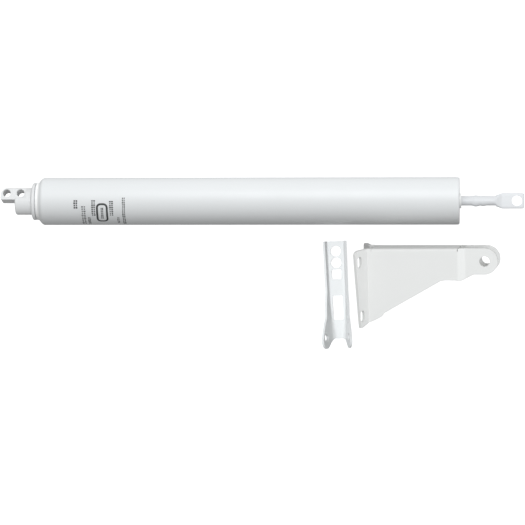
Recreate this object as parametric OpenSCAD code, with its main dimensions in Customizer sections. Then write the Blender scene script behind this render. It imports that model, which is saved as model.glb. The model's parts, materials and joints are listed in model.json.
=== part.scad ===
// Pneumatic screen-door closer with its jamb bracket and its door bracket, laid out as a kit.
// X runs along the closer from its pin end to its rod end, Y runs across the kit, Z points up.
// The origin is the centre of the closer's outer pin hole, and the kit lies on a flat surface.

/* [Tube] */
// Outside diameter of the tube
tube_d = 31.75; // [28:0.05:38.5]
// Length of the tube between its rolled ends
tube_l = 284; // [230:0.5:360]
// Wall of the tube
tube_wall = 0.9; // [0.7:0.1:1.4]
// Outside diameter of the neck rolled round the end plug
neck_d = 25; // [23:0.5:26]
// Length of the straight neck
neck_l = 2.4; // [1.5:0.1:4]

/* [End plug] */
// Diameter of the boss that carries the tongue
boss_d = 18; // [16:0.5:20]
// Length of the boss from its flat face to the flange
boss_l = 10.8; // [9:0.1:14]
// Length of the boss next to the flange that is round all over
collar_l = 3.5; // [3:0.1:5]
// Diameter of the flange outside the tube
flange_d = 25; // [23:0.5:27]
// Thickness of the flange
flange_t = 3; // [1.6:0.1:4]
// Thickness of the tongue along the pin
tongue_t = 10; // [8:0.5:12]
// Tongue past the centre of its outer hole
tongue_end = 4.3; // [3.6:0.1:5]
// Radius of the tongue's upper corner
tongue_r = 6; // [5:0.25:7]
// Diameter of the two pin holes
pin_hole_d = 5.2; // [4.5:0.1:5.6]
// Distance of the pin holes from the tube's axis
hole_rise = 4.5; // [4:0.1:5]
// Distance between the two pin holes
hole_step = 9.3; // [8:0.1:10]
// Distance from the outer hole to the boss's flat face
hole_to_boss = 5.9; // [4:0.1:7]
// Length of the plug inside the tube
spigot_l = 14; // [12:0.5:20]
// Turn of the closer about its own axis as it lies
closer_roll = -14; // [-30:1:0]

/* [Adjusting screw] */
// Diameter of the air adjusting screw
screw_d = 4; // [3:0.25:5]
// Distance of the screw from the tube's axis
screw_drop = 4.7; // [4.5:0.1:5.5]
// Depth of the screw's head below the boss's flat face
screw_sink = 1.1; // [0.5:0.1:2]
// Diameter of the air passage that the needle closes
orifice_d = 1.2; // [0.8:0.1:1.6]

/* [Rod] */
// Diameter of the piston rod
rod_d = 6.35; // [5:0.05:8]
// Rod that shows between the guide and the flat eye
rod_out = 23.1; // [18:0.1:60]
// Length of the flattened eye
eye_l = 18.7; // [16:0.1:24]
// Width of the flattened eye
eye_w = 10.4; // [9.5:0.1:14]
// Thickness of the flattened eye
eye_t = 3; // [2.4:0.1:4]
// Diameter of the pin hole in the eye
eye_hole_d = 6.7; // [5:0.1:7.4]
// Distance from the hole's centre to the end of the eye
eye_hole_end = 4.8; // [4.6:0.1:6]

/* [Piston and spring] */
// Length of the piston body
piston_l = 12; // [8:0.5:18]
// Radial clearance of the piston in the tube
piston_gap = 0.3; // [0.2:0.05:0.5]
// Wire diameter of the main spring
wire_d = 2.2; // [1.6:0.1:2.6]
// Mean diameter of the main spring
spring_d = 21; // [19:0.5:22]
// Turns of the main spring
spring_turns = 24; // [16:1:30]
// Length of the rod end cap inside the tube
cap_l = 13; // [10:0.5:18]
// Diameter of the rod guide's nose
nose_d = 10; // [9.6:0.1:12]
// Nose past the end of the tube
nose_out = 1.1; // [0.6:0.1:4]

/* [Jamb bracket] */
// Sheet thickness of the jamb bracket
jamb_t = 1.9; // [1.5:0.1:2.2]
// Distance from the eye's centre to the flange bend
jamb_reach = 79; // [70:1:95]
// Height of the plates at the flange bend
jamb_h = 50.5; // [46:0.5:60]
// Radius of the plates' round end
jamb_eye_r = 8.85; // [8:0.05:10]
// Diameter of the pin hole in the jamb bracket
jamb_hole_d = 6.8; // [5.2:0.1:7.6]
// Room for the tongue on each side between the plates
tongue_gap = 0.25; // [0.15:0.05:0.6]
// Step of each plate outwards behind the eye
joggle = 1.8; // [1:0.1:2.5]
// Depth of each mounting flange, square to the plates
flange_out = 13.5; // [12:0.5:16]
// Lean of each mounting flange away from the eye
flange_lean = 6.2; // [4:0.1:8]
// Width of the slots in the mounting flanges
slot_w = 4.6; // [4:0.1:5]
// Length of the slots in the mounting flanges
slot_l = 7.6; // [6:0.1:9]
// Place of the jamb bracket's flange bend along the kit, and of its eye across the kit
jamb_at = [243.05, -43.8];
// Tilt of the jamb bracket about X and Y as it lies
jamb_tilt = [9.2, -7.9];
// Height of the jamb bracket's middle above the surface at its flange bend
jamb_raise = 27.44; // [20:0.01:35]

/* [Door bracket] */
// Sheet thickness of the door bracket
door_t = 1.6; // [1.2:0.1:2]
// Length of the door bracket's web
door_l = 66.6; // [60:0.2:80]
// Half width of the web at its far end, in the middle and at its pin end
door_half = [7.24, 6.8, 5.5];
// Distance from the pin end to the middle width
door_mid = 24; // [20:1:28]
// Height of the ears at the pin
ear_h = 14.2; // [13:0.1:18]
// Flare of each side wall outwards
ear_flare = 20; // [10:0.5:25]
// Height of the side walls at the far end
wall_h = 2.8; // [2.2:0.1:4]
// Diameter of the pin hole in the ears
ear_hole_d = 4.9; // [4:0.1:5.6]
// Height of the pin hole up the ears
ear_hole_h = 9.5; // [9:0.1:12]
// Distance of the pin hole from the pin end of the web
ear_hole_in = 1.9; // [1:0.1:4]
// Diameter of the round screw holes
door_hole_d = 7; // [5:0.1:7.4]
// Distance between the screw holes
door_hole_step = 7.8; // [7.6:0.1:9]
// Place of the door bracket's pin end along and across the kit
door_at = [223.3, -97.6];
// Turn of the door bracket as it lies
door_turn = 2.6; // [-10:0.1:10]
// Roll of the door bracket about its length as it lies
door_tilt = -4.5; // [-8:0.5:8]
// Height of the door bracket's middle line above the surface
door_raise = 0.5; // [0:0.1:2]

/* [Hidden] */
$fn = 64;
over = 1;           // how far a cut runs past the face it opens
rest_gap = 0.1;     // clearance of a part that is held still
run_gap = 0.08;     // radial clearance of a part that slides or turns

// Stations along the closer
boss_x = hole_to_boss;
collar_x = boss_x + boss_l - collar_l;
flange_x = boss_x + boss_l;
tube_x = flange_x + flange_t + 0.3;
shoulder_x = tube_x + neck_l;
tube_r = tube_d / 2;
bore_r = tube_r - tube_wall;
neck_r = neck_d / 2;
round_r = tube_r - neck_r;          // shoulder's outside radius
full_x = shoulder_x + round_r;      // where the tube reaches its full diameter
tube_end = tube_x + tube_l;
plug_end = full_x + spigot_l;

// Rod end
lip_r = tube_r - 2.6;               // inside of the lip rolled over the cap
lip_round = 1.2;
cap_x = tube_end - cap_l;
bush_flange_t = 1.5;
bush_flange_r = nose_d / 2 + 2;
bumper_l = 6.5;
nose_x = tube_end + nose_out;
shoulder_of_eye = nose_x + rod_out;
eye_end = shoulder_of_eye + eye_l;
eye_hole_x = eye_end - eye_hole_end;

// Piston stack, from the plug towards the rod
tail_r = rod_d / 2 - 0.8;           // turned-down end of the rod
tail_x = plug_end + 1.5;
nut_x = tail_x + 0.8;
nut_t = 3.2;
nut_af = 8;
lock_t = 0.9;
cup_washer_x = nut_x + nut_t + lock_t;
cup_washer_t = 1.2;
cup_x = cup_washer_x + cup_washer_t;
cup_t = 2;
cup_lip = 5.5;
piston_x = cup_x + cup_t;
seat_x = piston_x + piston_l;
seat_t = 1.5;
spring_x = seat_x + seat_t;

// Seals and the screw
groove_w = 2.9;
groove_r = bore_r - 2.2;
groove_x = full_x + 5;
ring_d = 2.1;
screw_x = boss_x + screw_sink;
screw_l = 13.4;
needle_l = 4;
screw_groove_x = screw_x + screw_l - 3.4;
screw_groove_w = 1.3;
screw_ring_d = 0.9;

// Floor under the kit
axis_z = -hole_rise * sin(closer_roll);
floor_z = axis_z - tube_r;

// Jamb bracket
eye_in = tongue_t / 2 + tongue_gap;      // inner face of a plate at the eye
eye_out = eye_in + jamb_t;
web_out = eye_out + joggle;
joggle_x = [-17.6, -13.2];
jamb_bend_r = 1.9;
web_x = -jamb_reach + 4;
waist = 12.95;                           // lower edge of the plates behind the joggle
flange_tip_x = -jamb_reach - flange_lean;
flange_a = atan2(flange_out, flange_lean);
slot_drop = [8, jamb_h - 6.3];           // slots below the bracket's top edge
slot_along = [10, 8.2];                  // the same slots from the bend, along the flange
flange_corner = [1.9, 2.4];              // half axes of the flanges' upper corner in side view

// Places the closer: its pin hole comes to the origin and it is rolled as it lies
module closer() { rotate([closer_roll, 0, 0]) translate([0, -hole_rise, 0]) children(); }

// A profile drawn as [distance along the closer, radius], spun round the closer's axis
module spun() { rotate([0, 90, 0]) rotate([0, 0, 90]) rotate_extrude($fn = 96) rotate(90) mirror([0, 1]) children(); }

// A ring or a rod along the closer, from x = a to x = b
module bar(a, b, r) { translate([a, 0, 0]) rotate([0, 90, 0]) cylinder(r = r, h = b - a); }
module ring(a, b, r_out, r_in) {
    difference() {
        bar(a, b, r_out);
        bar(a - over, b + over, r_in);
    }
}
module o_ring(x, r_mid, d) { translate([x, 0, 0]) rotate([0, 90, 0]) rotate_extrude() translate([r_mid, 0]) circle(d = d, $fn = 24); }

// Points of a quarter arc, from angle a to angle b
function arc(cx, cy, r, a, b, n = 10) = [for (i = [0:n]) let (t = a + (b - a) * i / n) [cx + r * cos(t), cy + r * sin(t)]];

module tube_outside() {
    polygon(concat(
        [[tube_x, 0], [tube_x, neck_r]],
        arc(full_x, neck_r, round_r, 180, 90),
        arc(tube_end - lip_round, tube_r - lip_round, lip_round, 90, 0, 6),
        [[tube_end, 0]]
    ));
}

module tube_inside() {
    inner_round = round_r - tube_wall;
    polygon(concat(
        [[tube_x - over, 0], [tube_x - over, neck_r - tube_wall], [full_x - inner_round, neck_r - tube_wall]],
        arc(full_x, neck_r, inner_round, 180, 90),
        [[tube_end - tube_wall, bore_r], [tube_end - tube_wall, lip_r], [tube_end + over, lip_r], [tube_end + over, 0]]
    ));
}

module cylinder_tube() {
    color("white") closer() spun() difference() {
        tube_outside();
        tube_inside();
    }
}

// Side view of the tongue, with a large round upper corner
module tongue_outline() {
    top = hole_rise + boss_d;
    low_r = 1.4;
    polygon(concat(
        arc(-tongue_end + low_r, low_r, low_r, 270, 180, 6),
        arc(-tongue_end + tongue_r, boss_d / 2 - tongue_r, tongue_r, 180, 90),
        [[-tongue_end + tongue_r, top], [collar_x, top], [collar_x, 0]]
    ));
}

module end_plug_body() {
    neck_in = neck_r - tube_wall - rest_gap;
    spigot_r = bore_r - rest_gap;
    chamfer = 0.7;
    // lower half of the boss, with its flat face and a small chamfer
    intersection() {
        spun() polygon([
            [boss_x, 0], [boss_x, boss_d / 2 - chamfer], [boss_x + chamfer, boss_d / 2],
            [flange_x, boss_d / 2], [flange_x, 0]
        ]);
        translate([boss_x, -boss_d, -boss_d]) cube([boss_l + over, boss_d, 2 * boss_d]);
    }
    // tongue
    intersection() {
        linear_extrude(tongue_t, center = true) tongue_outline();
        bar(-tongue_end - over, flange_x, boss_d / 2);
    }
    bar(collar_x, flange_x + over, boss_d / 2);
    // flange, neck and the spigot inside the tube
    spun() polygon([
        [flange_x, 0], [flange_x, boss_d / 2 + 0.6], [flange_x + 0.9, flange_d / 2 - 0.5],
        [flange_x + 1.3, flange_d / 2], [flange_x + flange_t - 0.3, flange_d / 2],
        [flange_x + flange_t, flange_d / 2 - 0.3], [flange_x + flange_t, neck_in],
        [full_x - round_r + tube_wall + rest_gap, neck_in], [full_x, spigot_r - 0.6], [full_x, spigot_r],
        [groove_x, spigot_r], [groove_x, groove_r], [groove_x + groove_w, groove_r],
        [groove_x + groove_w, spigot_r], [plug_end - 0.6, spigot_r], [plug_end, spigot_r - 0.6], [plug_end, 0]
    ]);
}

module end_plug() {
    color("whitesmoke") closer() difference() {
        end_plug_body();
        for (x = [0, hole_step]) translate([x, hole_rise, 0]) cylinder(d = pin_hole_d, h = boss_d + 2, center = true);
        translate([0, -screw_drop, 0]) {
            bar(boss_x - over, screw_x + screw_l + needle_l, screw_d / 2 + run_gap);
            bar(boss_x, plug_end + over, orifice_d / 2);
        }
    }
}

module end_plug_seal() {
    color("dimgray") closer() o_ring(groove_x + groove_w / 2, bore_r - 0.05 - ring_d / 2, ring_d);
}

module adjusting_screw() {
    seat_r = 0.5;
    color("goldenrod") closer() translate([0, -screw_drop, 0]) difference() {
        spun() polygon([
            [screw_x, 0], [screw_x, screw_d / 2 - 0.3], [screw_x + 0.3, screw_d / 2],
            [screw_groove_x, screw_d / 2], [screw_groove_x, screw_d / 2 - screw_ring_d],
            [screw_groove_x + screw_groove_w, screw_d / 2 - screw_ring_d], [screw_groove_x + screw_groove_w, screw_d / 2],
            [screw_x + screw_l, screw_d / 2], [screw_x + screw_l + needle_l - 0.4, seat_r],
            [screw_x + screw_l + needle_l - 0.4, 0]
        ]);
        translate([screw_x - over, -0.4, -screw_d]) cube([over + 1, 0.8, 2 * screw_d]);
    }
}

module adjusting_screw_seal() {
    color("black") closer() translate([0, -screw_drop, 0])
        o_ring(screw_groove_x + screw_groove_w / 2, screw_d / 2 - screw_ring_d / 2, screw_ring_d);
}

module rod_end_cap() {
    color("whitesmoke") closer() difference() {
        spun() polygon([
            [cap_x, 0], [cap_x, bore_r - rest_gap - 0.5], [cap_x + 0.5, bore_r - rest_gap],
            [tube_end - tube_wall - rest_gap, bore_r - rest_gap], [tube_end - tube_wall - rest_gap, lip_r - rest_gap],
            [tube_end, lip_r - rest_gap], [tube_end, 0]
        ]);
        bar(cap_x - over, tube_end + over, nose_d / 2 + rest_gap / 2);
    }
}

module rod_guide_bush() {
    color("white") closer() difference() {
        spun() polygon([
            [cap_x - bush_flange_t, 0], [cap_x - bush_flange_t, bush_flange_r], [cap_x, bush_flange_r],
            [cap_x, nose_d / 2], [nose_x - 0.5, nose_d / 2], [nose_x, nose_d / 2 - 0.5], [nose_x, 0]
        ]);
        bar(cap_x - bush_flange_t - over, nose_x + over, rod_d / 2 + run_gap);
    }
}

module rod_bumper() {
    color("black") closer() ring(cap_x - bush_flange_t - bumper_l, cap_x - bush_flange_t, bush_flange_r + 0.4, rod_d / 2 + 0.5);
}

// Coil spring between the piston's seat and the rod end cap, wound by rule
module coil(x0, x1, r, wire, turns, steps = 14, sides = 6) {
    n = turns * steps;
    lead = (x1 - x0 - wire) / turns;
    pts = [
        for (i = [0:n]) let (a = 360 * i / steps, x = x0 + wire / 2 + lead * i / steps)
            for (j = [0:sides - 1]) let (b = 360 * j / sides, q = r + wire / 2 * cos(b))
                [x + wire / 2 * sin(b), q * cos(a), q * sin(a)]
    ];
    walls = [
        for (i = [0:n - 1]) for (j = [0:sides - 1]) let (k = (j + 1) % sides)
            for (f = [[i * sides + j, (i + 1) * sides + j, (i + 1) * sides + k], [i * sides + j, (i + 1) * sides + k, i * sides + k]]) f
    ];
    ends = [[for (j = [0:sides - 1]) j], [for (j = [sides - 1:-1:0]) n * sides + j]];
    polyhedron(points = pts, faces = concat(walls, ends));
}

module main_spring() {
    color("silver") closer() coil(spring_x + 0.05, cap_x - 0.05, spring_d / 2, wire_d, spring_turns);
}

module spring_seat_washer() {
    color("silver") closer() ring(seat_x, spring_x, spring_d / 2 + wire_d, rod_d / 2 + rest_gap);
}

// Flattened eye: its plan cut from a block that thins from the rod to the flat
module rod_eye() {
    half = eye_w / 2;
    side = rod_d / 2 - 0.35;
    s = shoulder_of_eye;
    plan = concat(
        [[s - 1.5, -side]],
        arc(s + 5, -half + 3, 3, 225, 270, 4),
        [[eye_end - 0.5, -half + 0.35], [eye_end, -half + 0.85], [eye_end, half - 0.85], [eye_end - 0.5, half - 0.35]],
        arc(s + 5, half - 3, 3, 90, 135, 4),
        [[s - 1.5, side]]
    );
    taper = [
        [s - 1.5, -side], [s + 5.5, -eye_t / 2], [eye_end + over, -eye_t / 2],
        [eye_end + over, eye_t / 2], [s + 5.5, eye_t / 2], [s - 1.5, side]
    ];
    intersection() {
        linear_extrude(rod_d + 2, center = true) polygon(plan);
        rotate([90, 0, 0]) linear_extrude(2 * eye_w, center = true) polygon(taper);
    }
}

// Swelling where the rod is staked outside the guide, and a lesser one beside it
module stake(x, l, rise) {
    low = rod_d / 2 - 0.3;
    spun() polygon(concat(
        [[x - l / 2, 0]],
        [for (i = [0:8]) [x - l / 2 + l * i / 8, low + (rise + 0.3) * sin(180 * i / 8)]],
        [[x + l / 2, 0]]
    ));
}

module piston_rod() {
    stake_x = nose_x + 10.7;
    color("gainsboro") closer() rotate([-closer_roll, 0, 0]) difference() {
        union() {
            bar(tail_x, seat_x + over, tail_r);
            bar(seat_x, shoulder_of_eye, rod_d / 2);
            stake(stake_x, 6, 0.75);
            stake(stake_x + 5, 5, 0.3);
            rod_eye();
        }
        translate([eye_hole_x, 0, 0]) cylinder(d = eye_hole_d, h = rod_d + 2, center = true);
    }
}

module piston() {
    body_r = bore_r - piston_gap;
    color("ivory") closer() difference() {
        spun() polygon([
            [piston_x, 0], [piston_x, body_r - 0.6], [piston_x + 0.6, body_r],
            [seat_x - 0.6, body_r], [seat_x, body_r - 0.6], [seat_x, 0]
        ]);
        bar(piston_x - over, seat_x + over, tail_r + rest_gap);
    }
}

// Cup seal: a disc with a lip that opens towards the end plug
module piston_cup_seal() {
    lip_r_out = bore_r - run_gap;
    color("saddlebrown") closer() difference() {
        spun() polygon([
            [cup_x, 0], [cup_x, lip_r_out - 2.4], [piston_x - cup_lip, lip_r_out - 1.4], [piston_x - cup_lip, lip_r_out - 0.4],
            [piston_x - cup_lip + 0.6, lip_r_out], [piston_x - 0.6, lip_r_out], [piston_x, lip_r_out - 0.6], [piston_x, 0]
        ]);
        bar(cup_x - over, piston_x + over, tail_r + rest_gap);
    }
}

module cup_washer() {
    color("silver") closer() ring(cup_washer_x, cup_x, bore_r - 5.5, tail_r + rest_gap);
}

module lock_washer() {
    color("gray") closer() difference() {
        ring(nut_x + nut_t, cup_washer_x, nut_af / 2, tail_r + rest_gap);
        translate([nut_x, 0, -0.4]) cube([nut_t + lock_t + over, nut_af, 0.8]);
    }
}

module piston_nut() {
    corner = nut_af / cos(30) / 2;
    color("silver") closer() difference() {
        translate([nut_x, 0, 0]) rotate([0, 90, 0]) cylinder(r = corner, h = nut_t, $fn = 6);
        bar(nut_x - over, nut_x + nut_t + over, tail_r + 0.03);
    }
}

// Places the jamb bracket: the middle of its eye, with its plates square to Z before the tilt
module jamb_place() {
    to_eye = jamb_reach * [cos(jamb_tilt[1]), -sin(jamb_tilt[1])];
    translate([jamb_at[0] + to_eye[0], jamb_at[1], floor_z + jamb_raise + to_eye[1]])
        rotate([jamb_tilt[0], jamb_tilt[1], 0]) children();
}

// Plan of one plate with its joggle and its mounting flange, as [x, distance from the middle]
module plate_plan() {
    lean = [flange_tip_x, web_out - jamb_t + flange_out];
    side = jamb_t * [sin(flange_a), cos(flange_a)];
    polygon([
        [jamb_eye_r + over, eye_in], [jamb_eye_r + over, eye_out], [joggle_x[1], eye_out],
        [joggle_x[0], web_out], [-jamb_reach + jamb_t * tan(flange_a / 2), web_out],
        lean + side, lean, [-jamb_reach, web_out - jamb_t],
        [joggle_x[0], web_out - jamb_t], [joggle_x[1], eye_in]
    ]);
}

// Side view of the bracket's plates and flanges
module jamb_outline() {
    r = jamb_eye_r;
    foot = r - jamb_h;
    polygon(concat(
        arc(0, 0, r, -90, 90, 24),
        [
            for (t = [0:15:90])
                [flange_tip_x + flange_corner[0] * (1 - sin(t)), r - flange_corner[1] * (1 - cos(t))]
        ],
        [
            [flange_tip_x + 2.2, foot - 2.2], [-jamb_reach, foot + 0.4], [-jamb_reach + 5.2, foot + 2.2],
            [-jamb_reach + 10.2, foot + 5], [-jamb_reach + 11.6, foot + 7.1],
            [joggle_x[0] - 11.5, -waist], [joggle_x[0] - 8.3, -waist + 0.6], [joggle_x[0] - 1.4, -waist + 0.45],
            [joggle_x[0] + 0.5, -waist - 0.25], [joggle_x[1] - 0.5, -waist + 0.85], [joggle_x[1] + 5.9, -r]
        ]
    ));
}

module flange_slot(i) {
    bend = [-jamb_reach, web_out - jamb_t];
    along = slot_along[i] * [-cos(flange_a), sin(flange_a)];
    translate([bend[0] + along[0], jamb_eye_r - slot_drop[i], bend[1] + along[1]]) rotate([0, flange_a, 0])
        linear_extrude(4 * jamb_t, center = true) {
            for (s = [-1, 1]) translate([0, s * (slot_l - slot_w) / 2]) circle(d = slot_w);
            square([slot_w, slot_l - slot_w], center = true);
        }
}

module jamb_bracket() {
    color("gainsboro") jamb_place() difference() {
        union() {
            intersection() {
                for (s = [0, 1]) mirror([0, 0, s]) rotate([-90, 0, 0]) mirror([0, 1, 0])
                    linear_extrude(3 * jamb_h, center = true) plate_plan();
                linear_extrude(4 * flange_out + 4 * web_out, center = true) jamb_outline();
            }
            translate([web_x, jamb_eye_r - jamb_t, -web_out + jamb_t / 2])
                cube([joggle_x[0] - web_x, jamb_t, 2 * web_out - jamb_t]);
        }
        cylinder(d = jamb_hole_d, h = 4 * eye_out, center = true);
        for (s = [0, 1], i = [0, 1]) mirror([0, 0, s]) flange_slot(i);
        // rounds the two bends between the web and the plates
        for (s = [0, 1]) mirror([0, 0, s]) translate([web_x, jamb_eye_r - jamb_bend_r, web_out - jamb_bend_r])
            rotate([90, 0, 90]) linear_extrude(joggle_x[0] - web_x) difference() {
                square(jamb_bend_r + over);
                circle(jamb_bend_r);
            }
    }
}

// Places the door bracket: the middle of its pin end, rolled on the floor, its length along Y
module door_place() {
    translate([door_at[0], door_at[1], floor_z + door_raise]) rotate([0, door_tilt, door_turn]) children();
}

// Side view of a wall and its ear, as [distance from the pin end, height above the floor]
module wall_outline() {
    up = cos(ear_flare);
    tip_r = 4.8;
    polygon(concat(
        [[2, -over], [door_l, -over], [door_l, door_t + wall_h * up]],
        [[door_l / 2, door_t + wall_h * up], [door_mid, door_t + (wall_h + 1.6) * up]],
        [[door_mid - 9, door_t + (wall_h + 3.4) * up], [9.7, door_t + (ear_h - 4.4) * up]],
        arc(-0.6, door_t + (ear_h - tip_r) * up, tip_r, 70, 200, 12),
        [[1.4, 0]]
    ));
}

// Section of a flared wall with its bend, as [distance outwards from the bend, height]
module wall_section() {
    reach = ear_h + 4;
    f = ear_flare;
    polygon(concat(
        [[-0.3, door_t], [-0.3, 0]],
        arc(0, door_t, door_t, -90, -f, 5),
        [[door_t * cos(f) + reach * sin(f), door_t * (1 - sin(f)) + reach * cos(f)]],
        [[reach * sin(f), door_t + reach * cos(f)], [0, door_t]]
    ));
}

// One wall: part 0 is its far stretch, part 1 its stretch at the pin
module door_wall(part) {
    half = [door_half[part], door_half[part + 1]];
    run = part == 0 ? door_l - door_mid : door_mid;
    slope = atan2(half[0] - half[1], run);
    ends = part == 0 ? [-0.2, run + over] : [-run - 8, 0.2];
    intersection() {
        translate([door_half[1] - door_t, door_mid, 0]) rotate([0, 0, -slope]) translate([0, ends[1], 0])
            rotate([90, 0, 0]) linear_extrude(ends[1] - ends[0]) wall_section();
        rotate([90, 0, 90]) linear_extrude(4 * ear_h) wall_outline();
    }
}

module door_web() {
    w = [for (h = door_half) h - door_t];
    linear_extrude(door_t) polygon([
        [-w[0], door_l], [-w[1], door_mid], [-w[2], 0.6], [-w[2] + 0.6, 0],
        [w[2] - 0.6, 0], [w[2], 0.6], [w[1], door_mid], [w[0], door_l]
    ]);
}

module door_bracket() {
    first = door_l - 6.8;
    slot = [6.7, 16];
    slot_y = 13.7;
    color("whitesmoke") door_place() difference() {
        union() {
            door_web();
            for (s = [0, 1], part = [0, 1]) mirror([s, 0, 0]) door_wall(part);
        }
        for (i = [0, 1]) translate([0, first - i * door_hole_step, -over]) cylinder(d = door_hole_d, h = door_t + 2 * over);
        translate([-3.2, first - 2 * door_hole_step - 3.2, -over]) cube([6.4, 6.4, door_t + 2 * over]);
        translate([-slot[0] / 2, slot_y, -over]) cube([slot[0], slot[1], door_t + 2 * over]);
        translate([0, ear_hole_in, door_t + ear_hole_h * cos(ear_flare)]) rotate([0, 90, 0])
            cylinder(d = ear_hole_d, h = 60, center = true);
    }
}

cylinder_tube();
end_plug();
end_plug_seal();
adjusting_screw();
adjusting_screw_seal();
rod_end_cap();
rod_guide_bush();
rod_bumper();
main_spring();
spring_seat_washer();
piston_rod();
piston();
piston_cup_seal();
cup_washer();
lock_washer();
piston_nut();
jamb_bracket();
door_bracket();
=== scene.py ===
import json
import math

import bmesh
import bpy
from mathutils import Matrix, Vector


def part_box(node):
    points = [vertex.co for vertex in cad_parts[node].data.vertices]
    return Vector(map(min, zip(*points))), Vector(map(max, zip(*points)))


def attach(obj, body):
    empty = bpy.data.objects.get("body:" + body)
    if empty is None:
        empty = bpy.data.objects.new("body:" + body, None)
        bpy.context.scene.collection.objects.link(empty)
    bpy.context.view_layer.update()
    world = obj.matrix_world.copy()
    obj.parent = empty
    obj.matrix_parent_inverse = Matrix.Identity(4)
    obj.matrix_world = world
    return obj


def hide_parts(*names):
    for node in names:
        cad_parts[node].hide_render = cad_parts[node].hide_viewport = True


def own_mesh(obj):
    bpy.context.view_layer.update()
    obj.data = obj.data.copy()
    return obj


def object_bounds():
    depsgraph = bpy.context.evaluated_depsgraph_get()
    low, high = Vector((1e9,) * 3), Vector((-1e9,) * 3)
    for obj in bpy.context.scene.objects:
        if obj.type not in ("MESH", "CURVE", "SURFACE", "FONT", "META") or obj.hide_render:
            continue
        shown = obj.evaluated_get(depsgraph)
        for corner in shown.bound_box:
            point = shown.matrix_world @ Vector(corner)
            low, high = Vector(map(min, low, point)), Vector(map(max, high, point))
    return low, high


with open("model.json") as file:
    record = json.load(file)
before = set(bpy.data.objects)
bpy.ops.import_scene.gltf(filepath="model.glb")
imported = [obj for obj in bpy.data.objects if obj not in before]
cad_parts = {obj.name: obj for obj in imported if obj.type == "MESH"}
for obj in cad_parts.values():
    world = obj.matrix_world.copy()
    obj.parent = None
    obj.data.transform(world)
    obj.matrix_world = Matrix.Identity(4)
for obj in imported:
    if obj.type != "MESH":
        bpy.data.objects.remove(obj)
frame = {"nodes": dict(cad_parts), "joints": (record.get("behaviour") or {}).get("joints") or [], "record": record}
cadLow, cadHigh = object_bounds()
print("frame loaded")

mm = 0.001


# small tools for meshes

def mountOf(name):
    found = next(m for m in frame["record"]["mounts"] if m["name"] == name)
    return Vector(found["pos_m"]), Vector(found["axis"]).normalized()


def placeFrom(origin, xAxis, zAxis):
    # a frame at origin, with Z along zAxis and X as near as it can be to xAxis
    z = zAxis.normalized()
    y = z.cross(xAxis).normalized()
    x = y.cross(z)
    place = Matrix((x, y, z)).transposed().to_4x4()
    place.translation = origin
    return place


def corner(before, at, after, radius, steps):
    # the arc that rounds one corner of an outline
    toBefore, toAfter = (before - at), (after - at)
    turn = toBefore.angle(toAfter)
    reach = min(radius / math.tan(turn / 2), toBefore.length * 0.49, toAfter.length * 0.49)
    radius = reach * math.tan(turn / 2)
    start, end = at + toBefore.normalized() * reach, at + toAfter.normalized() * reach
    centre = at + (toBefore.normalized() + toAfter.normalized()).normalized() * math.hypot(reach, radius)
    a, b = start - centre, end - centre
    sweep = a.angle(b)
    points = []
    for i in range(steps + 1):
        t = i / steps
        points.append(centre + (a * math.sin((1 - t) * sweep) + b * math.sin(t * sweep)) / math.sin(sweep))
    return points


def rounded(points, closed=True, steps=5):
    # points are (x, y) or (x, y, radius); corners with a radius become arcs
    flat = [Vector(p[:2]) for p in points]
    count, out = len(points), []
    for i, p in enumerate(points):
        radius = p[2] if len(p) > 2 else 0
        ends = not closed and i in (0, count - 1)
        if radius <= 0 or ends:
            out.append(flat[i])
        else:
            out += corner(flat[i - 1], flat[i], flat[(i + 1) % count], radius, steps)
    return out


def circlePoints(cx, cy, r, steps=40):
    turns = [2 * math.pi * i / steps for i in range(steps)]
    return [Vector((cx + r * math.cos(t), cy + r * math.sin(t))) for t in turns]


def pieceFrom(bm, name, place, material, sharp=35):
    # a finished mesh at the origin, unturned and unscaled, with its place in its points
    bmesh.ops.transform(bm, matrix=place @ Matrix.Scale(mm, 4), verts=bm.verts)
    mesh = bpy.data.meshes.new(name)
    bm.to_mesh(mesh)
    bm.free()
    return pieceWith(mesh, name, material, sharp)


def pieceWith(mesh, name, material, sharp=35):
    for face in mesh.polygons:
        face.use_smooth = True
    mesh.set_sharp_from_angle(angle=math.radians(sharp))
    mesh.materials.clear()
    mesh.materials.append(material)
    made = bpy.data.objects.new(name, mesh)
    bpy.context.scene.collection.objects.link(made)
    return made


def settle(made, *modifiers):
    # runs the modifiers and keeps the result as a plain mesh
    for kind, settings in modifiers:
        modifier = made.modifiers.new(kind.lower(), kind)
        for key, value in settings.items():
            setattr(modifier, key, value)
    bpy.context.view_layer.update()
    ready = made.evaluated_get(bpy.context.evaluated_depsgraph_get())
    mesh = bpy.data.meshes.new_from_object(ready)
    made.modifiers.clear()
    old = made.data
    made.data = mesh
    bpy.data.meshes.remove(old)
    mesh.name = made.name
    return made


def edgeRound(width, segments=2, angle=35):
    return ("BEVEL", {"width": width * mm, "segments": segments, "limit_method": "ANGLE",
                      "angle_limit": math.radians(angle), "harden_normals": False})


evenNormals = ("WEIGHTED_NORMAL", {"weight": 60, "keep_sharp": True})


def keep(made, body, slot, *nodes):
    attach(made, body)
    if nodes:
        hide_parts(*nodes)
    return made


def turned(name, profile, place, material, steps=96):
    # spins a closed loop of (x, radius) points about the X axis
    bm = bmesh.new()
    angles = [2 * math.pi * i / steps for i in range(steps)]
    rings = [[bm.verts.new((x, r * math.cos(a), r * math.sin(a))) for a in angles] for x, r in profile]
    for a, b in zip(rings, rings[1:] + rings[:1]):
        for i in range(steps):
            j = (i + 1) % steps
            bm.faces.new((a[i], a[j], b[j], b[i]))
    bmesh.ops.recalc_face_normals(bm, faces=bm.faces)
    return pieceFrom(bm, name, place, material)


def ringProfile(a, b, outer, inner, edge=0.3):
    return rounded([(a, inner, edge), (a, outer, edge), (b, outer, edge), (b, inner, edge)], steps=3)


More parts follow.
